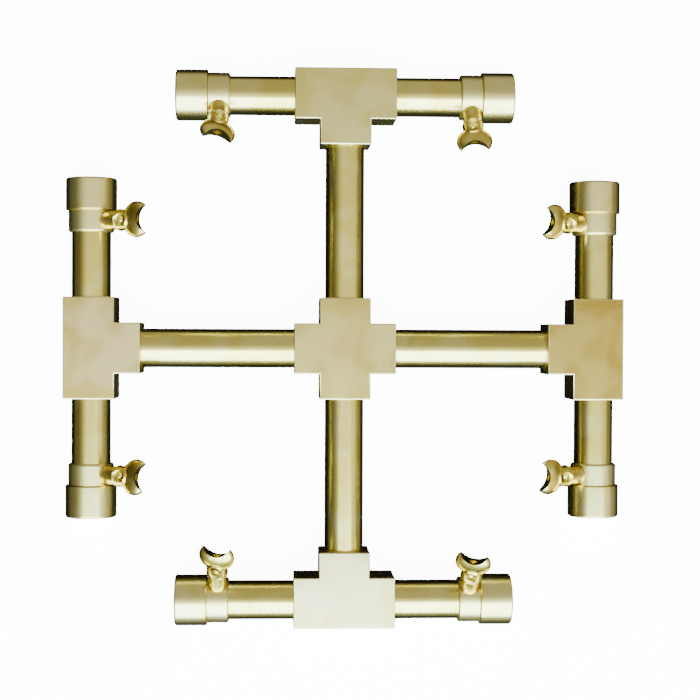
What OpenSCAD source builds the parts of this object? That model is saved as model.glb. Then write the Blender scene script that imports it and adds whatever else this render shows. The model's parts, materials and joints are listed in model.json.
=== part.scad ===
// Four-armed brass gas burner with adjustable crescent jets.
// Frame: origin at the bottom centre of the cross, +Z up, +Y north, +X east.

/* [Manifold] */
// Overall width across two opposite tees
overall_w = 304.8; // [280:0.1:340]
// Width and height of the square-section fittings
body_w = 27.8; // [27.6:0.1:29]
// Length of a fitting's straight run, end to end
fitting_run = 55.4; // [54:0.2:58]
// Depth of a pipe port in a fitting
port_depth = 13.5; // [11:0.5:14]
// Chamfer along the long edges of the fittings
body_chamfer = 0.8; // [0.4:0.1:1.5]
// Gas passage through the fittings
passage_d = 14; // [12:0.5:15]

/* [Pipe] */
// Outside diameter of the half-inch pipe
pipe_od = 21.3; // [21.3:0.1:21.5]
// Inside diameter of the pipe
pipe_id = 15.8; // [15:0.1:16.2]
// Radial gap that stands for the thread between a pipe and its port
thread_gap = 0.05; // [0.03:0.01:0.08]

/* [Branch ends] */
// Distance from the tee's centre to the near face of the jet collar
collar_start = 63; // [61:0.5:65]
// Length of the jet collar
collar_len = 12; // [11.5:0.5:13]
// Outside diameter of the jet collar
collar_d = 24.8; // [24.2:0.1:25.4]
// Length of the end cap
cap_len = 17.5; // [16:0.5:20]
// Outside diameter of the end cap
cap_d = 27.8; // [26:0.1:27.8]
// Thickness of the end cap's closed face
cap_face = 4; // [3:0.5:5]

/* [Jets] */
// Diameter of the jet's threaded shank
shank_d = 10.2; // [9.8:0.1:10.6]
// Radial clearance of the shank in its port
aim_gap = 0.05; // [0.02:0.01:0.09]
// Distance from the pipe's axis to the inner end of the shank
shank_start = 8.4; // [8:0.1:9.5]
// Distance from the pipe's axis to the step above the shank
step_at = 21.3; // [20.5:0.1:21.8]
// Diameter of the step ring
step_d = 11.9; // [11.4:0.1:12.5]
// Diameter of the barrel that holds the air window
barrel_d = 11.3; // [11:0.1:11.8]
// Distance from the pipe's axis to the centre of the air window
window_at = 26.1; // [25.9:0.1:26.4]
// Diameter of the cross-drilled air window
window_d = 6.4; // [5.8:0.1:6.6]
// Distance from the pipe's axis to the centre of the crescent head
head_at = 33.7; // [33.2:0.1:34.2]
// Radius of the round head, seen from its broad side
head_r = 9.7; // [9.4:0.1:10]
// Thickness of the flattened head
head_w = 9; // [8.5:0.1:9.5]
// Radius of the channel that makes the crescent
channel_r = 8; // [7.6:0.1:8.2]
// Distance from the pipe's axis to the floor of the channel
channel_floor = 34.3; // [33.8:0.1:34.6]
// Slope of the channel's floor across the head
channel_tilt = 32; // [26:1:34]
// Diameter of the flame outlet in the channel's floor
outlet_d = 3.7; // [3:0.1:4.5]

/* [Jet settings] */
// Lift above level of the north side's jets, west then east
lift_north = [47, 38]; // [25:1:55]
// Lift above level of the east side's jets, north then south
lift_east = [38, 35]; // [25:1:55]
// Lift above level of the south side's jets, east then west
lift_south = [45, 37]; // [25:1:55]
// Lift above level of the west side's jets, south then north
lift_west = [39, 38]; // [25:1:55]
// Turn of the north side's jets about their own axes
turn_north = [164, -174]; // [-180:1:180]
// Turn of the east side's jets about their own axes
turn_east = [168, 172]; // [-180:1:180]
// Turn of the south side's jets about their own axes
turn_south = [166, 168]; // [-180:1:180]
// Turn of the west side's jets about their own axes
turn_west = [171, -179]; // [-180:1:180]

/* [Orifices] */
// Outside diameter of the metering orifice
orifice_d = 5.2; // [4.8:0.1:5.6]
// Diameter of the metering hole
metering_d = 1.5; // [1:0.1:2]
// Length of the orifice below its dome
orifice_len = 7; // [5:0.5:8]

/* [Gas inlet] */
// Radius of the threaded gas inlet under the cross
inlet_r = 10.7; // [10.65:0.01:10.75]

/* [Hidden] */
$fn = 96;
eps = 0.01;
half_w = body_w / 2;
half_run = fitting_run / 2;
axis_h = half_w;                                // height of every pipe axis
arm_offset = overall_w / 2 - half_w;            // cross centre to a tee's run axis
port_floor = half_run - port_depth;             // fitting centre to the bottom of a port
port_d = pipe_od + 2 * thread_gap;
collar_end = collar_start + collar_len;
jet_at = collar_start + collar_len / 2;         // tee centre to a jet, along the branch
cap_end = collar_end + cap_len;
branch_end = cap_end - cap_face - 1;            // the pipe stops 1 mm short of the cap's face
chamber_r = 0.72 * passage_d;                   // round chamber where the cross's passages meet
inlet_depth = half_w - passage_d / 2 - 0.5;
orifice_top = window_at - window_d / 2 + 0.6;   // the dome stands in the foot of the window
orifice_dome_h = 1.2;
window_chamfer = 0.8;
step_h = 1.0;
neck_run_out = 1.5;
neck_top = head_at - 4;                         // where the barrel has run out into the head

// Sides of the burner: name and direction of its arm
SIDES = [["north", 90], ["east", 0], ["south", 270], ["west", 180]];
// Branch ends: name, direction of the arm, side of the tee, lift and turn of the jet
ENDS = [
    ["north_west", 90, 1, lift_north[0], turn_north[0]],
    ["north_east", 90, -1, lift_north[1], turn_north[1]],
    ["east_north", 0, 1, lift_east[0], turn_east[0]],
    ["east_south", 0, -1, lift_east[1], turn_east[1]],
    ["south_east", 270, 1, lift_south[0], turn_south[0]],
    ["south_west", 270, -1, lift_south[1], turn_south[1]],
    ["west_south", 180, 1, lift_west[0], turn_west[0]],
    ["west_north", 180, -1, lift_west[1], turn_west[1]]
];

// ---- placing ----

// Children are drawn with the arm along +X and the pipe axis at z = 0
module on_arm(direction) {
    translate([0, 0, axis_h]) rotate([0, 0, direction]) children();
}

// Children are drawn with the branch along +X, from the tee's centre
module on_branch(end) {
    on_arm(end[1]) translate([arm_offset, 0, 0]) rotate([0, 0, end[2] * 90]) children();
}

// Children are drawn with the jet's barrel along +Z, from the branch pipe's axis
module on_jet(end) {
    on_arm(end[1]) translate([arm_offset, end[2] * jet_at, 0])
        rotate([0, end[3] - 90, 0]) rotate([0, 0, end[4] - 90]) children();
}

// ---- shapes ----

// Cylinder along +X from x0 to x1
module rod_x(d, x0, x1) {
    translate([x0, 0, 0]) rotate([0, 90, 0]) cylinder(d = d, h = x1 - x0);
}

// Square bar along +X with chamfered long edges
module square_bar(x0, x1) {
    a = half_w;
    c = half_w - body_chamfer;
    translate([x0, 0, 0]) rotate([90, 0, 90]) linear_extrude(height = x1 - x0)
        polygon([[a, -c], [a, c], [c, a], [-c, a], [-a, c], [-a, -c], [-c, -a], [c, -a]]);
}

// One port: the bore that a pipe screws into, and the passage behind it
module port_x() {
    rod_x(port_d, port_floor, half_run + 1);
    rod_x(passage_d, 0, port_floor + eps);
}

module pipe_x(x0, x1) {
    difference() {
        rod_x(pipe_od, x0, x1);
        rod_x(pipe_id, x0 - 1, x1 + 1);
    }
}

// ---- fittings ----

module center_cross() {
    color("khaki") translate([0, 0, axis_h]) difference() {
        union() {
            square_bar(-half_run, half_run);
            rotate([0, 0, 90]) square_bar(-half_run, half_run);
        }
        for (s = SIDES) rotate([0, 0, s[1]]) port_x();
        sphere(r = chamber_r);
        translate([0, 0, -half_w - 1]) cylinder(r = inlet_r, h = inlet_depth + 1);
    }
}

module tee(direction) {
    color("khaki") on_arm(direction) translate([arm_offset, 0, 0]) difference() {
        union() {
            rotate([0, 0, 90]) square_bar(-half_run, half_run);
            square_bar(-half_run, 0);
        }
        for (a = [90, 180, 270]) rotate([0, 0, a]) port_x();
    }
}

// ---- pipes ----

module arm_pipe(direction) {
    color("goldenrod") on_arm(direction) pipe_x(port_floor, arm_offset - port_floor);
}

module branch_pipe(end) {
    color("goldenrod") difference() {
        on_branch(end) pipe_x(port_floor, branch_end);
        on_jet(end) cylinder(d = shank_d + 2 * aim_gap, h = collar_d);
    }
}

// ---- branch ends ----

module jet_collar(end) {
    color("gold") difference() {
        on_branch(end) difference() {
            rod_x(collar_d, collar_start, collar_end);
            rod_x(port_d, collar_start - 1, collar_end + 1);
        }
        on_jet(end) cylinder(d = shank_d + 2 * aim_gap, h = collar_d);
    }
}

module end_cap(end) {
    color("gold") on_branch(end) difference() {
        rod_x(cap_d, collar_end, cap_end);
        rod_x(port_d, collar_end - 1, cap_end - cap_face);
    }
}

// ---- jets ----

// Round head, flattened to a lens, on the barrel
module jet_blank() {
    translate([0, 0, shank_start]) cylinder(d = shank_d, h = step_at - shank_start + eps);
    translate([0, 0, step_at]) cylinder(d = step_d, h = step_h);
    translate([0, 0, step_at]) cylinder(d = barrel_d, h = neck_top - neck_run_out - step_at);
    translate([0, 0, neck_top - neck_run_out]) cylinder(d1 = barrel_d, d2 = head_w, h = neck_run_out);
    translate([0, 0, head_at]) scale([1, head_w / (2 * head_r), 1]) sphere(r = head_r);
}

// Air window through the barrel, with a chamfered mouth on both sides
module air_window() {
    mouth = barrel_d / 2 - 0.4;
    translate([0, 0, window_at]) {
        rotate([90, 0, 0]) cylinder(d = window_d, h = 2 * barrel_d, center = true);
        for (side = [-1, 1]) rotate([side * 90, 0, 0]) translate([0, 0, mouth - window_chamfer])
            cylinder(d1 = window_d, d2 = window_d + 6 * window_chamfer, h = 3 * window_chamfer);
    }
}

module jet(end) {
    color("darkgoldenrod") on_jet(end) difference() {
        jet_blank();
        air_window();
        // sloping channel that leaves the two horns
        translate([0, 0, channel_floor + channel_r / cos(channel_tilt)])
            rotate([90 - channel_tilt, 0, 0]) cylinder(r = channel_r, h = 4 * head_r, center = true);
        // seat of the orifice, then the gas way below it
        translate([0, 0, orifice_top - orifice_len]) cylinder(d = orifice_d, h = orifice_len + 1);
        translate([0, 0, shank_start - 1]) cylinder(d = orifice_d - 1, h = orifice_top - shank_start);
        // mixing bore from the window to the flame outlet
        translate([0, 0, window_at]) cylinder(d = outlet_d, h = 2 * head_r);
    }
}

// Metering orifice with a domed tip that stands in the air window
module orifice(end) {
    color("gold") on_jet(end) translate([0, 0, orifice_top - orifice_len]) difference() {
        union() {
            cylinder(d = orifice_d, h = orifice_len);
            translate([0, 0, orifice_len]) cylinder(d1 = orifice_d, d2 = orifice_d / 2, h = orifice_dome_h);
        }
        translate([0, 0, -1]) cylinder(d = orifice_d - 2, h = orifice_len - 0.5);
        cylinder(d = metering_d, h = 2 * orifice_len);
    }
}

center_cross();
for (s = SIDES) arm_pipe(s[1]);
for (s = SIDES) tee(s[1]);
for (e = ENDS) branch_pipe(e);
for (e = ENDS) jet_collar(e);
for (e = ENDS) end_cap(e);
for (e = ENDS) jet(e);
for (e = ENDS) orifice(e);
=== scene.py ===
# %% [markdown]
# # A four-armed brass gas burner
# Gas comes up into a square brass cross, runs out through four round arms to square
# tees, and leaves through eight small crescent jets. This lesson builds the finished
# look of the burner around a frame that already holds its sizes and its joints.
# The frame comes first, because every piece below takes its place from it.

import json
import math

import bmesh
import bpy
from mathutils import Matrix, Vector


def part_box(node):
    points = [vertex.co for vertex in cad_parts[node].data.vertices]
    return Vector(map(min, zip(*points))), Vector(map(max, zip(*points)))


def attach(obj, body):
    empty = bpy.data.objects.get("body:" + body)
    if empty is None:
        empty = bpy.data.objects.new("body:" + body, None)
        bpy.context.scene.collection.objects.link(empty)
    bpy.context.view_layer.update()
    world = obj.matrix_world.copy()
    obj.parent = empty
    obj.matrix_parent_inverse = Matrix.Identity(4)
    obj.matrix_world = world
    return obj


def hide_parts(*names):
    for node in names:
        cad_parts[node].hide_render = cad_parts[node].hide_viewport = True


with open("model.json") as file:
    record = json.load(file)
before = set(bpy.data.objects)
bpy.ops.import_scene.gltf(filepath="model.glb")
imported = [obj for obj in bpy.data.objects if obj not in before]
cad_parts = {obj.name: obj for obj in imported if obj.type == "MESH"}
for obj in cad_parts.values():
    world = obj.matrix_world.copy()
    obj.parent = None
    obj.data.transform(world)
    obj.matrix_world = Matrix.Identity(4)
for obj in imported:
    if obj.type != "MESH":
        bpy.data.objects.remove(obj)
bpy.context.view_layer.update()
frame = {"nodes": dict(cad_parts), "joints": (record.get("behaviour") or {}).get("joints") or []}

# %% [markdown]
# ## Sizes
# The boxes of a few frame nodes give every driving size of the pipework: the cross
# gives the section and length of a fitting, the east tee how far out the arms reach,
# and one branch end gives its collar and its cap. Only the small cuts inside a jet
# are written here, in millimetres, because a box can't tell them.

# %% Read the sizes
MM = 0.001
SIDES = {"north": 90, "east": 0, "south": 270, "west": 180}
ENDS = {
    "north_west": ("north", 1), "north_east": ("north", -1),
    "east_north": ("east", 1), "east_south": ("east", -1),
    "south_east": ("south", 1), "south_west": ("south", -1),
    "west_south": ("west", 1), "west_north": ("west", -1),
}

cross_low, cross_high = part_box("center_cross")
tee_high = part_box("tee_east")[1]
pipe_low, pipe_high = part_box("arm_pipe_east")
collar_low, collar_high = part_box("jet_collar_east_north")
cap_low, cap_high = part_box("end_cap_east_north")

body_w = cross_high.z - cross_low.z
half_run = cross_high.x
axis_h = body_w / 2
arm_offset = tee_high.x - body_w / 2
port_floor = pipe_low.x
pipe_r = (pipe_high.z - pipe_low.z) / 2
passage_r = 7 * MM
port_r = pipe_r + 0.05 * MM
collar_r = (collar_high.x - collar_low.x) / 2
collar_start, collar_end = collar_low.y, collar_high.y
cap_r = (cap_high.x - cap_low.x) / 2
cap_end = cap_high.y
cap_face = 4 * MM
print("section", round(body_w, 4), "run", round(2 * half_run, 4), "arms", round(arm_offset, 4))

# %% [markdown]
# ## Working by hand, in code
# Blender's operators act on whatever is selected, so each step below selects one
# object, enters edit mode, and picks faces or edges by where they are or which way
# they face. These helpers are that routine: select, pick, apply a modifier, cut one
# shape with another, and put a finished shape in its place.

# %% Helpers for modelling
def only(obj):
    """Makes obj the one selected and active object."""
    if bpy.context.mode != "OBJECT":
        bpy.ops.object.mode_set(mode="OBJECT")
    bpy.ops.object.select_all(action="DESELECT")
    obj.select_set(True)
    bpy.context.view_layer.objects.active = obj


def edit(obj, mode="FACE"):
    """Enters edit mode on obj with nothing selected, and returns its editable mesh."""
    only(obj)
    bpy.ops.object.mode_set(mode="EDIT")
    bpy.ops.mesh.select_mode(type=mode)
    bpy.ops.mesh.select_all(action="DESELECT")
    return bmesh.from_edit_mesh(obj.data)


def pick(obj, elements, test):
    """Selects the faces or edges that pass the test, and says how many there are."""
    count = 0
    for element in elements:
        chosen = test(element)
        element.select_set(chosen)
        count += chosen
    bmesh.update_edit_mesh(obj.data)
    return count


def apply_modifier(obj, kind, **settings):
    """Adds a modifier with these settings and applies it."""
    modifier = obj.modifiers.new(kind.lower(), kind)
    for key, value in settings.items():
        setattr(modifier, key, value)
    only(obj)
    bpy.ops.object.modifier_apply(modifier=modifier.name)


def combine(obj, tool, operation="DIFFERENCE"):
    """Cuts obj with tool, or joins them, merges the slivers that leaves, and removes the tool."""
    apply_modifier(obj, "BOOLEAN", object=tool, operation=operation, solver="EXACT",
                   material_mode="TRANSFER")
    edit(obj)
    bpy.ops.mesh.select_all(action="SELECT")
    bpy.ops.mesh.remove_doubles(threshold=0.004 * MM)
    bpy.ops.mesh.dissolve_degenerate(threshold=0.004 * MM)
    bpy.ops.object.mode_set(mode="OBJECT")
    bpy.data.objects.remove(tool)


def duplicate(obj, name):
    """A copy of obj with a mesh of its own."""
    twin = obj.copy()
    twin.data = obj.data.copy()
    twin.name = name
    bpy.context.collection.objects.link(twin)
    return twin


def smooth(obj, degrees=35):
    """Rounds the shading across shallow edges and keeps large flat faces flat."""
    only(obj)
    bpy.ops.object.shade_smooth_by_angle(angle=math.radians(degrees))
    apply_modifier(obj, "WEIGHTED_NORMAL", keep_sharp=True, weight=100)


def keep_shape(obj):
    """Stores each point's place on the bench, so that a pattern can follow the piece."""
    old = obj.data.attributes.get("shape")
    if old:
        obj.data.attributes.remove(old)
    places = obj.data.attributes.new("shape", "FLOAT_VECTOR", "POINT")
    places.data.foreach_set("vector", [c for v in obj.data.vertices for c in v.co])


def hand_over(obj, matrix, node, body):
    """Puts a bench-made piece in its place on the burner and ties it to the frame."""
    obj.data.transform(matrix)
    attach(obj, body)
    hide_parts(node)


def on_arm(side):
    """From an arm drawn along +X to its place on the burner."""
    return Matrix.Translation((0, 0, axis_h)) @ Matrix.Rotation(math.radians(SIDES[side]), 4, "Z")


def on_branch(end):
    """From a branch turned about +Z, starting at its tee's centre, to its place."""
    side, hand = ENDS[end]
    out = Matrix.Translation((arm_offset, 0, 0)) @ Matrix.Rotation(math.radians(hand * 90), 4, "Z")
    return on_arm(side) @ out @ Matrix.Rotation(math.radians(90), 4, "Y")


# %% [markdown]
# ## A lathe
# Pipes, collars, caps, jets and the drills that cut their holes are all round, so one
# helper turns them: a single point is extruded along an outline, and the outline is
# spun about the Z axis. An outline is a short list of (radius, height) points, and
# its round stretches come from an arc. Doubles are merged before the normals are
# recalculated, since a spin can leave a shape inside out.

# %% The lathe
def arc(centre, radius, start, stop, steps=6):
    """Points on a round stretch of an outline, from start to stop degrees."""
    turns = [math.radians(start + (stop - start) * i / steps) for i in range(steps + 1)]
    return [(centre[0] + radius * math.cos(a), centre[1] + radius * math.sin(a)) for a in turns]


def turned(name, outline, material, steps=96):
    """Spins an outline of (radius, height) points about Z into a closed brass shape."""
    bpy.ops.mesh.primitive_plane_add(size=MM)
    obj = bpy.context.active_object
    obj.name = name
    only(obj)
    bpy.ops.object.mode_set(mode="EDIT")
    bpy.ops.mesh.select_mode(type="VERT")
    bpy.ops.mesh.select_all(action="SELECT")
    bpy.ops.mesh.merge(type="CENTER")
    bpy.ops.transform.translate(value=(outline[0][0], 0, outline[0][1]))
    for (r0, z0), (r1, z1) in zip(outline, outline[1:]):
        bpy.ops.mesh.extrude_region_move(TRANSFORM_OT_translate={"value": (r1 - r0, 0, z1 - z0)})
    bpy.ops.mesh.select_all(action="SELECT")
    bpy.ops.mesh.spin(steps=steps, angle=2 * math.pi, center=(0, 0, 0), axis=(0, 0, 1))
    bpy.ops.mesh.select_all(action="SELECT")
    bpy.ops.mesh.remove_doubles(threshold=0.005 * MM)
    bpy.ops.mesh.normals_make_consistent(inside=False)
    bpy.ops.object.mode_set(mode="OBJECT")
    obj.data.materials.append(material)
    return obj


def drill(outline, steps=90):
    """A turned cutter. It is turned on by part of a facet, so its edges miss the piece's own."""
    cutter = turned("drill", outline, bore_brass, steps)
    cutter.data.transform(Matrix.Rotation(math.radians(1.3), 4, "Z"))
    return cutter


# %% [markdown]
# ## Brass
# All of the metal is one family of brass, told apart by how each piece was finished.
# Two effects are shared as node groups. "fine grain" is noise stretched into thin
# lines, as abrasive or a cutting tool leaves them; "tarnish" is a broad, soft
# mottling where handling and heat have warmed the colour. Each material feeds them
# the pattern scale of its own finish, and the shader itself stays in the material.

# %% Shared effects
def new_group(name, inputs, outputs):
    """A shader node group with named sockets, and its input and output nodes."""
    group = bpy.data.node_groups.new(name, "ShaderNodeTree")
    for label, kind in inputs:
        group.interface.new_socket(label, in_out="INPUT", socket_type=kind)
    for label, kind in outputs:
        group.interface.new_socket(label, in_out="OUTPUT", socket_type=kind)
    return group, group.nodes.new("NodeGroupInput"), group.nodes.new("NodeGroupOutput")


grain_group, g_in, g_out = new_group(
    "fine grain",
    [("Vector", "NodeSocketVector"), ("Lines per metre", "NodeSocketVector")],
    [("Mask", "NodeSocketFloat")],
)
stretch = grain_group.nodes.new("ShaderNodeVectorMath")
stretch.operation = "MULTIPLY"
lines = grain_group.nodes.new("ShaderNodeTexNoise")
lines.inputs["Scale"].default_value = 1
lines.inputs["Detail"].default_value = 4
lines.inputs["Roughness"].default_value = 0.65
crisp = grain_group.nodes.new("ShaderNodeMapRange")
crisp.inputs["From Min"].default_value = 0.25
crisp.inputs["From Max"].default_value = 0.75
grain_group.links.new(g_in.outputs["Vector"], stretch.inputs[0])
grain_group.links.new(g_in.outputs["Lines per metre"], stretch.inputs[1])
grain_group.links.new(stretch.outputs[0], lines.inputs["Vector"])
grain_group.links.new(lines.outputs["Fac"], crisp.inputs["Value"])
grain_group.links.new(crisp.outputs["Result"], g_out.inputs["Mask"])

tarnish_group, t_in, t_out = new_group(
    "tarnish",
    [("Vector", "NodeSocketVector"), ("Scale", "NodeSocketFloat")],
    [("Mask", "NodeSocketFloat")],
)
clouds = tarnish_group.nodes.new("ShaderNodeTexNoise")
clouds.inputs["Detail"].default_value = 3
clouds.inputs["Distortion"].default_value = 0.4
soften = tarnish_group.nodes.new("ShaderNodeMapRange")
soften.interpolation_type = "SMOOTHSTEP"
soften.inputs["From Min"].default_value = 0.4
soften.inputs["From Max"].default_value = 0.6
tarnish_group.links.new(t_in.outputs["Vector"], clouds.inputs["Vector"])
tarnish_group.links.new(t_in.outputs["Scale"], clouds.inputs["Scale"])
tarnish_group.links.new(clouds.outputs["Fac"], soften.inputs["Value"])
tarnish_group.links.new(soften.outputs["Result"], t_out.inputs["Mask"])


# %% The brass maker
GLOSS_SPREAD, GRAIN_SHARE, RELIEF = 0.015, 0.25, 0.15


def brass(name, clean, warm, roughness, lines_per_m, grain_depth, on_cad=False, clouds_per_m=45):
    """A brass finish: two colours mixed by tarnish, and grain in its roughness and relief."""
    material = bpy.data.materials.new(name)
    material.use_nodes = True
    nodes, links = material.node_tree.nodes, material.node_tree.links
    shader = nodes["Principled BSDF"]
    shader.inputs["Metallic"].default_value = 1

    if on_cad:
        place = nodes.new("ShaderNodeTexCoord").outputs["Object"]
    else:
        attribute = nodes.new("ShaderNodeAttribute")
        attribute.attribute_name = "shape"
        place = attribute.outputs["Vector"]

    grain = nodes.new("ShaderNodeGroup")
    grain.node_tree = grain_group
    grain.inputs["Lines per metre"].default_value = lines_per_m
    tarnish = nodes.new("ShaderNodeGroup")
    tarnish.node_tree = tarnish_group
    tarnish.inputs["Scale"].default_value = clouds_per_m
    links.new(place, grain.inputs["Vector"])
    links.new(place, tarnish.inputs["Vector"])

    colour = nodes.new("ShaderNodeMix")
    colour.data_type = "RGBA"
    colour.inputs["A"].default_value = (*clean, 1)
    colour.inputs["B"].default_value = (*warm, 1)
    blend = nodes.new("ShaderNodeMix")
    blend.inputs["Factor"].default_value = GRAIN_SHARE
    links.new(tarnish.outputs["Mask"], blend.inputs["A"])
    links.new(grain.outputs["Mask"], blend.inputs["B"])
    links.new(blend.outputs["Result"], colour.inputs["Factor"])
    links.new(colour.outputs["Result"], shader.inputs["Base Color"])

    gloss = nodes.new("ShaderNodeMapRange")
    gloss.inputs["To Min"].default_value = roughness - GLOSS_SPREAD
    gloss.inputs["To Max"].default_value = roughness + GLOSS_SPREAD
    links.new(grain.outputs["Mask"], gloss.inputs["Value"])
    links.new(gloss.outputs["Result"], shader.inputs["Roughness"])

    relief = nodes.new("ShaderNodeBump")
    relief.inputs["Strength"].default_value = RELIEF
    relief.inputs["Distance"].default_value = grain_depth
    links.new(grain.outputs["Mask"], relief.inputs["Height"])
    links.new(relief.outputs["Normal"], shader.inputs["Normal"])
    return material


# %% [markdown]
# ## The finishes
# The square fittings are linished flat: a satin face with hair-fine straight lines and
# a paler colour. Each tee's face is also painted paler or darker, as painted reflection
# of the light it catches where it stands. The pipes are drawn and polished, with grain
# along their length. The collars and caps come off a lathe, so their grain runs round
# them. The jets are the deepest gold and the shiniest. The edges of the fittings are
# rubbed bright, and their bevels get a paler finish of their own that is partly rubbed
# brass and partly painted highlight, the thin bright line where light catches an edge.

# %% Make the finishes
PALE = (0.90, 0.76, 0.26)
GOLD = (0.88, 0.74, 0.18)
DEEP = (0.84, 0.66, 0.11)
# A pale polished brass colour; on the fitting edges it is also painted highlight.
POLISH_AND_HIGHLIGHT = (0.95, 0.84, 0.40)
ROUND_Z = (60, 60, 1800)
# The bevel colour is partly rubbed brass and partly painted highlight.
rubbed_and_highlight_brass = brass("rubbed edge with painted highlight", POLISH_AND_HIGHLIGHT, PALE, 0.25, (300, 300, 300), 0.001 * MM)
bore_brass = brass("drilled bore", DEEP, (0.5, 0.36, 0.08), 0.4, (100, 100, 2500), 0.004 * MM)
pipe_brass = {
    along: brass(f"drawn pipe along {along}", (0.89, 0.76, 0.22), (0.78, 0.62, 0.11), 0.22,
                 lines, 0.0005 * MM, on_cad=True)
    for along, lines in (("x", (8, 2500, 2500)), ("y", (2500, 8, 2500)))
}
collar_brass = brass("turned collar", PALE, (0.84, 0.69, 0.17), 0.32, ROUND_Z, 0.0004 * MM)
cap_brass = brass("turned cap", PALE, (0.82, 0.67, 0.14), 0.26, ROUND_Z, 0.0003 * MM)
jet_brass = brass("turned jet", (0.90, 0.74, 0.18), (0.74, 0.52, 0.05), 0.26,
                  (150, 150, 2600), 0.0004 * MM, clouds_per_m=180)
tip_brass = brass("bright tip", POLISH_AND_HIGHLIGHT, GOLD, 0.18, (200, 200, 2600), 0.0005 * MM)


def face_brass(name, clean, warm):
    """The linished face of one fitting, in the colour given to it; on the tees that colour is painted
    reflection.
    """
    return brass(name, clean, warm, 0.26, (60, 2400, 2400), 0.0006 * MM, clouds_per_m=28)


cross_face = face_brass("linished cross", (0.78, 0.63, 0.18), (0.58, 0.42, 0.07))
# The four tees are copies of one fitting, and their different colours are painted reflection: each is
# as pale or as dark as the light it reflects where it stands.
tee_faces_painted_reflection = {
    "north": face_brass("linished tee, north, painted reflection", (0.90, 0.77, 0.25), (0.70, 0.56, 0.10)),
    "east": face_brass("linished tee, east, painted reflection", (0.60, 0.43, 0.085), (0.40, 0.25, 0.025)),
    "south": face_brass("linished tee, south, painted reflection", (0.76, 0.64, 0.26), (0.62, 0.49, 0.15)),
    "west": face_brass("linished tee, west, painted reflection", (0.84, 0.66, 0.25), (0.56, 0.40, 0.06)),
}
print(len(bpy.data.materials), "materials")

# %% [markdown]
# ## A drill for the fittings
# Each arm of a fitting is bored twice from its end: a wide port that the pipe screws
# into, and a narrower gas passage behind it. A stepped drill makes both at once, and
# its flared shoulder leaves the small countersink at the mouth. The drill is turned
# about Z and then laid along the arm that it bores.

# %% The stepped drill
mouth_flare = 0.5 * MM


def port_drill(direction):
    """A stepped drill that points out of the fitting's centre along direction."""
    tool = drill([
        (0, 0),
        (passage_r, 0),
        (passage_r, port_floor),
        (port_r, port_floor),
        (port_r, half_run - mouth_flare),
        (port_r + 2 * mouth_flare, half_run + mouth_flare),
        (0, half_run + mouth_flare),
    ])
    tool.data.transform(Vector((0, 0, 1)).rotation_difference(direction).to_matrix().to_4x4())
    return tool


# %% [markdown]
# ## Square fittings
# The cross and the tees are one family, forged as square bars that meet. A cube is
# the middle, and pulling a face of it out makes an arm, so the same few lines give a
# cross from four pulls and a tee from three. The outward edges are then rounded,
# while the inner corners stay sharp, as they are where a milling cutter stopped.

# %% Build a fitting
edge_round = 0.7 * MM


def fitting(name, directions, face):
    """A square block with an arm, a port and a gas passage along each direction."""
    bpy.ops.mesh.primitive_cube_add(size=body_w)
    block = bpy.context.active_object
    block.name = name
    block.data.materials.append(face)
    block.data.materials.append(rubbed_and_highlight_brass)
    for direction in directions:
        middle = direction * body_w / 2
        mesh = edit(block)
        pick(block, mesh.faces, lambda f: (f.calc_center_median() - middle).length < MM)
        bpy.ops.mesh.extrude_region_move(
            TRANSFORM_OT_translate={"value": direction * (half_run - body_w / 2)})
    mesh = edit(block, "EDGE")
    picked = pick(block, mesh.edges, lambda e: e.calc_face_angle_signed() > 1)
    # The bevel faces take the second material, the paler edge colour that is part rubbed brass and part
    # painted highlight.
    bpy.ops.mesh.bevel(offset=edge_round, segments=3, material=1)
    bpy.ops.object.mode_set(mode="OBJECT")
    print(name, picked, "edges rounded")
    return block


EAST, NORTH = Vector((1, 0, 0)), Vector((0, 1, 0))
cross = fitting("cross_fitting", [EAST, -EAST, NORTH, -NORTH], cross_face)
tee = fitting("tee_fitting", [-EAST, NORTH, -NORTH], tee_faces_painted_reflection["north"])


# %% Bore the fittings
inlet_r = 10.7 * MM
inlet_depth = body_w / 2 - passage_r - 0.5 * MM


def bore(obj, directions):
    """Bores a fitting from every end, then sets its shading."""
    for direction in directions:
        combine(obj, port_drill(direction))
    smooth(obj)
    keep_shape(obj)
    print(obj.name, len(obj.data.polygons), "faces")


inlet = drill([
    (0, -half_run),
    (inlet_r + half_run - body_w / 2 + mouth_flare, -half_run),
    (inlet_r, mouth_flare - body_w / 2),
    (inlet_r, inlet_depth - body_w / 2),
    (passage_r, inlet_depth - body_w / 2),
    (passage_r, 0),
    (0, 0),
])
chamber_r = 1.44 * passage_r
combine(cross, drill(arc((0, 0), chamber_r, -90, 90, 24)))
combine(cross, inlet)
bore(cross, [EAST, -EAST, NORTH, -NORTH])
bore(tee, [-EAST, NORTH, -NORTH])

# %% Place the fittings
for side in SIDES:
    piece = duplicate(tee, f"tee_fitting_{side}")
    # Each copy gets the painted-reflection colour of its own side.
    piece.data.materials[0] = tee_faces_painted_reflection[side]
    hand_over(piece, on_arm(side) @ Matrix.Translation((arm_offset, 0, 0)),
              f"tee_{side}", "manifold")
hand_over(cross, on_arm("east"), "center_cross", "manifold")
bpy.data.objects.remove(tee)

# %% [markdown]
# ## Pipes
# The frame's pipes are plain drawn tubes and already have the true shape, down to the
# hole for each jet, so they stay. What they need is the look of the drawing die:
# grain that runs along the pipe. The grain is the same noise for all of them, only
# stretched along X on some and along Y on the others.

# %% Finish the pipes
for name, node in frame["nodes"].items():
    if "_pipe_" in name:
        low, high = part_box(name)
        along = "x" if high.x - low.x > high.y - low.y else "y"
        node.data.materials.clear()
        node.data.materials.append(pipe_brass[along])

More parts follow.
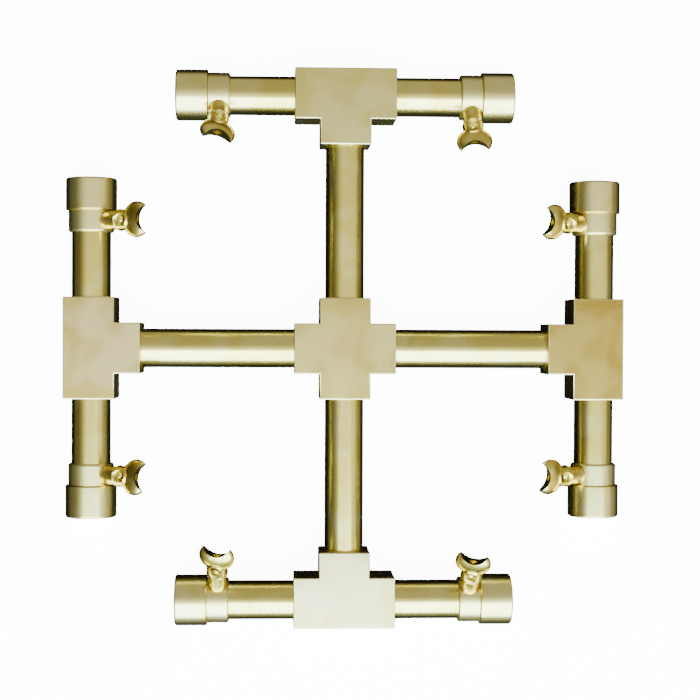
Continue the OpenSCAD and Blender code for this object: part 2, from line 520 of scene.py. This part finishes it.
# %% [markdown]
# ## Collars and caps
# Each branch ends in a tapped collar, which holds the jet, and a cap that closes the
# pipe. Both are lathe work, so both are outlines for the lathe, with the small rounded
# corners that a file leaves. The collar's outer corner next to the bare pipe is the
# softest. A cap is a cup: its outline goes in through the mouth, round the outside,
# and closes over the end.

# %% Turn a collar and a cap
soft_corner, corner, lip = 1.2 * MM, 0.5 * MM, 0.3 * MM
collar = turned("collar", [
    (port_r, collar_start + lip),
    (port_r + lip, collar_start),
    *arc((collar_r - soft_corner, collar_start + soft_corner), soft_corner, -90, 0),
    *arc((collar_r - corner, collar_end - corner), corner, 0, 90),
    (port_r, collar_end),
    (port_r, collar_start + lip),
], collar_brass)
cap = turned("cap", [
    (0, cap_end - cap_face),
    (port_r, cap_end - cap_face),
    (port_r, collar_end),
    *arc((cap_r - corner, collar_end + corner), corner, -90, 0),
    *arc((cap_r - soft_corner, cap_end - soft_corner), soft_corner, 0, 90),
    (0, cap_end),
], cap_brass)
for piece in (collar, cap):
    smooth(piece)
    keep_shape(piece)
    print(piece.name, len(piece.data.polygons), "faces")

# %% [markdown]
# ## Jets
# A jet starts on the lathe: a threaded shank, a step ring, and a barrel that runs out
# into the head. The head is a ball pressed to the shape of a lens, and a channel milled
# across it at a slope leaves the two horns of the crescent. A cross hole below the
# head lets air in, where it meets the gas. The same order is followed here: turn,
# flatten, mill the channel, join the head to the barrel, then drill.

# %% The sizes of a jet
shank_r = 5.1 * MM
shank_start = 8.4 * MM
step_at, step_r, step_h = 21.3 * MM, 5.95 * MM, 1 * MM
barrel_r = 5.65 * MM
window_at, window_r = 26.1 * MM, 3.2 * MM
head_at, head_r, thickness = 33.7 * MM, 9.7 * MM, 9 * MM
neck_top, neck_run_out = head_at - 4 * MM, 1.5 * MM
fillet_r = 1.5 * MM
channel_r, channel_floor, channel_tilt = 8 * MM, 34.3 * MM, math.radians(32)
outlet_r = 1.85 * MM
orifice_r, orifice_len, dome_r = 2.6 * MM, 7 * MM, 1.5 * MM
orifice_top = window_at - window_r + 0.6 * MM

# %% Turn, flatten and mill the head
root_r = barrel_r - 0.1 * MM
fillet_out = root_r + fillet_r
fillet_centre = (fillet_out, head_at - math.sqrt((head_r + fillet_r) ** 2 - fillet_out ** 2))
meet = math.degrees(math.atan2(fillet_centre[1] - head_at, fillet_centre[0]))
head = turned("jet", [
    (0, fillet_centre[1]),
    *arc(fillet_centre, fillet_r, 180, 180 + meet, 5),
    *arc((0, head_at), head_r, meet, 90, 24)[1:],
], jet_brass)
edit(head)
bpy.ops.mesh.select_all(action="SELECT")
bpy.ops.transform.resize(value=(1, thickness / (2 * head_r), 1), center_override=(0, 0, 0))
bpy.ops.object.mode_set(mode="OBJECT")
channel = drill([(0, -2 * head_r), (channel_r, -2 * head_r),
                 (channel_r, 2 * head_r), (0, 2 * head_r)], 128)
channel.data.materials[0] = jet_brass
channel.data.transform(
    Matrix.Translation((0, 0, channel_floor + channel_r / math.cos(channel_tilt)))
    @ Matrix.Rotation(math.radians(90) - channel_tilt, 4, "X"))
combine(head, channel)
print("head", [round(d * 1000, 1) for d in head.dimensions], "mm")

# %% Join the barrel and drill the jet
barrel = turned("barrel", [
    (0, shank_start),
    (shank_r - corner, shank_start),
    (shank_r, shank_start + corner),
    (shank_r, step_at),
    *arc((step_r - step_h / 2, step_at + step_h / 2), step_h / 2, -90, 90),
    (barrel_r, step_at + step_h),
    *arc((barrel_r - 2 * neck_run_out, neck_top - neck_run_out), 2 * neck_run_out, 0, 50),
    (0, neck_top),
], jet_brass)
combine(head, barrel, "UNION")
reach = 8 * MM
window = drill([
    (0, -reach),
    (window_r + reach - barrel_r + 1.2 * MM, -reach),
    (window_r, 1.2 * MM - barrel_r),
    (window_r, barrel_r - 1.2 * MM),
    (window_r + reach - barrel_r + 1.2 * MM, reach),
    (0, reach),
])
window.data.transform(Matrix.Translation((0, 0, window_at)) @ Matrix.Rotation(math.radians(90), 4, "X"))
combine(head, window)
combine(head, drill([
    (0, shank_start - MM),
    (orifice_r - 0.5 * MM, shank_start - MM),
    (orifice_r - 0.5 * MM, orifice_top - orifice_len),
    (orifice_r, orifice_top - orifice_len),
    (orifice_r, orifice_top + MM),
    (0, orifice_top + MM),
]))
combine(head, drill([
    (0, window_at),
    (outlet_r, window_at),
    (outlet_r, window_at + 2 * head_r),
    (0, window_at + 2 * head_r),
]))
smooth(head, 30)
keep_shape(head)
print("jet", [round(d * 1000, 1) for d in head.dimensions], "mm,", len(head.data.polygons), "faces")

# %% [markdown]
# ## Orifices
# A small screwed-in orifice at the foot of each air window meters the gas. It is a
# tube with a domed, drilled tip, and only that tip shows, as a bright bead in the
# window.

# %% Turn an orifice
drill_r = 0.75 * MM
tip = turned("orifice_tip", [
    (orifice_r - MM, 0),
    (orifice_r, 0),
    *arc((orifice_r - dome_r, orifice_len - 0.3 * MM), dome_r, 0, 80),
    (drill_r, orifice_len + dome_r - 0.4 * MM),
    (drill_r, orifice_len - 0.5 * MM),
    (orifice_r - MM, orifice_len - 0.5 * MM),
    (orifice_r - MM, 0),
], tip_brass, 48)
tip.data.transform(Matrix.Translation((0, 0, orifice_top - orifice_len)))
smooth(tip)
keep_shape(tip)

# %% [markdown]
# ## Fitting the branch ends
# Every branch end gets its own copy of the collar, cap, jet and orifice. A joint in
# the frame says where a jet's shank lies and which way it points; its turn about that
# line is listed, since each burner is aimed as its owner likes. The collar is
# bored along the same line, with a small countersink, before it goes on.

# %% Fit the ends
TURN = {
    "north_west": 164, "north_east": -174, "east_north": 168, "east_south": 172,
    "south_east": 166, "south_west": 168, "west_south": 171, "west_north": -179,
}
joint_up = 14 * MM
port_gap = 0.05 * MM
countersink = 0.7 * MM
shank_drill = drill([
    (0, 0),
    (shank_r + port_gap, 0),
    (shank_r + port_gap, collar_r - countersink),
    (shank_r + port_gap + collar_r, 2 * collar_r - countersink),
    (0, 2 * collar_r - countersink),
])
for joint in frame["joints"]:
    end = joint["name"].removeprefix("aim_")
    side, hand = ENDS[end]
    axis = Vector(joint["axis"])
    lift = math.asin(axis.z)
    on_jet = (Matrix.Translation(Vector(joint["pos_m"]) - joint_up * axis)
              @ Matrix.Rotation(math.radians(SIDES[side]), 4, "Z")
              @ Matrix.Rotation(lift - math.radians(90), 4, "Y")
              @ Matrix.Rotation(math.radians(TURN[end] - 90), 4, "Z"))

    ring = duplicate(collar, f"collar_{end}")
    tool = duplicate(shank_drill, "tool")
    tool.data.transform(on_branch(end).inverted() @ on_jet)
    combine(ring, tool)
    smooth(ring)
    keep_shape(ring)
    hand_over(ring, on_branch(end), f"jet_collar_{end}", "manifold")
    hand_over(duplicate(cap, f"cap_{end}"), on_branch(end), f"end_cap_{end}", "manifold")
    hand_over(duplicate(head, f"crescent_jet_{end}"), on_jet, f"jet_{end}", f"jet_unit_{end}")
    hand_over(duplicate(tip, f"orifice_tip_{end}"), on_jet, f"orifice_{end}", f"jet_unit_{end}")
    print(end, "lift", round(math.degrees(lift), 1))
for pattern in (collar, cap, head, tip, shank_drill):
    bpy.data.objects.remove(pattern)

# %% [markdown]
# ## Floor
# A plain pale floor under the burner. Metal shows little colour of its own and lives
# on what it reflects, so the floor is left out of reflections: the undersides of the
# pipes then stay dark and the outline reads crisply, as when the burner is shot over
# a light table that is switched off below.

# %% Lay the floor
floor_size = 8
bpy.ops.mesh.primitive_plane_add(size=floor_size)
floor = bpy.context.active_object
floor.name = "floor"
floor.visible_glossy = False
floor_material = bpy.data.materials.new("pale floor")
floor_material.use_nodes = True
paint = floor_material.node_tree.nodes["Principled BSDF"]
paint.inputs["Base Color"].default_value = (0.9, 0.9, 0.9, 1)
paint.inputs["Roughness"].default_value = 0.9
paint.inputs["Emission Color"].default_value = (1, 1, 1, 1)
paint.inputs["Emission Strength"].default_value = 12
floor.data.materials.append(floor_material)

# %% [markdown]
# ## Light
# One wide softbox does most of the work. It hangs over the south side and reaches
# almost overhead, so every round pipe carries one broad white band. The rest of the
# room is the world: an even grey above that falls off toward the west, the north and
# the south, and goes black well below the horizon. The camera sees plain white where
# it looks past the floor.

# %% Hang the softbox and set the room
def softbox(name, lean, distance, aside, width, height, power, colour):
    """A rectangular light that leans over from straight above toward the south."""
    light = bpy.data.lights.new(name, "AREA")
    light.shape = "RECTANGLE"
    light.size, light.size_y = width, height
    light.energy = power
    light.color = colour
    lamp = bpy.data.objects.new(name, light)
    lamp.matrix_world = (Matrix.Rotation(math.radians(lean), 4, "X")
                         @ Matrix.Translation((aside, 0, distance)))
    lamp.visible_camera = False
    bpy.context.collection.objects.link(lamp)


softbox("key", 46, 1.8, 0.2, 3.0, 2.3, 330, (0.48, 0.67, 1))

world = bpy.data.worlds.new("room")
bpy.context.scene.world = world
world.use_nodes = True
nodes, links = world.node_tree.nodes, world.node_tree.links
nodes.clear()


def fade(source, start, stop, low, high):
    """A smooth change from low to high as source goes from start to stop."""
    node = nodes.new("ShaderNodeMapRange")
    node.interpolation_type = "SMOOTHSTEP"
    for label, value in (("From Min", start), ("From Max", stop), ("To Min", low), ("To Max", high)):
        node.inputs[label].default_value = value
    links.new(source, node.inputs["Value"])
    return node.outputs["Result"]


way = nodes.new("ShaderNodeSeparateXYZ")
links.new(nodes.new("ShaderNodeTexCoord").outputs["Generated"], way.inputs[0])
level = fade(way.outputs["Z"], -0.42, -0.1, 0.01, 1)
for step in (
    fade(way.outputs["X"], -1, -0.2, 0.1, 1),
    fade(way.outputs["X"], 0.9, 1, 1, 0.2),
    fade(way.outputs["Y"], 0, 0.3, 1, 0.42),
    fade(way.outputs["Y"], -1, -0.5, 0.25, 1),
):
    product = nodes.new("ShaderNodeMath")
    product.operation = "MULTIPLY"
    links.new(level, product.inputs[0])
    links.new(step, product.inputs[1])
    level = product.outputs[0]
room = nodes.new("ShaderNodeBackground")
room.inputs["Strength"].default_value = 1.25
links.new(level, room.inputs["Color"])
seen = nodes.new("ShaderNodeBackground")
seen.inputs["Color"].default_value = (1, 1, 1, 1)
seen.inputs["Strength"].default_value = 14
choose = nodes.new("ShaderNodeMixShader")
links.new(nodes.new("ShaderNodeLightPath").outputs["Is Camera Ray"], choose.inputs["Fac"])
links.new(room.outputs[0], choose.inputs[1])
links.new(seen.outputs[0], choose.inputs[2])
links.new(choose.outputs[0], nodes.new("ShaderNodeOutputWorld").inputs["Surface"])

# %% [markdown]
# ## Camera
# The camera looks straight down from about 85 cm, a touch west of the middle, with a
# short telephoto lens. At that distance the ends of the caps and the inner sides of
# the fittings still show a little perspective.

# %% Set the camera
lens = bpy.data.cameras.new("camera")
lens.lens = 78.8
camera = bpy.data.objects.new("camera", lens)
bpy.context.collection.objects.link(camera)
tilt = (Matrix.Rotation(math.radians(-0.19), 3, "Z")
        @ Matrix.Rotation(math.radians(2.55), 3, "Y")
        @ Matrix.Rotation(math.radians(0.78), 3, "X"))
camera.matrix_world = (Matrix.Translation((-0.0344, 0.0107, axis_h + 0.844))
                       @ tilt.transposed().to_4x4())
bpy.context.scene.camera = camera
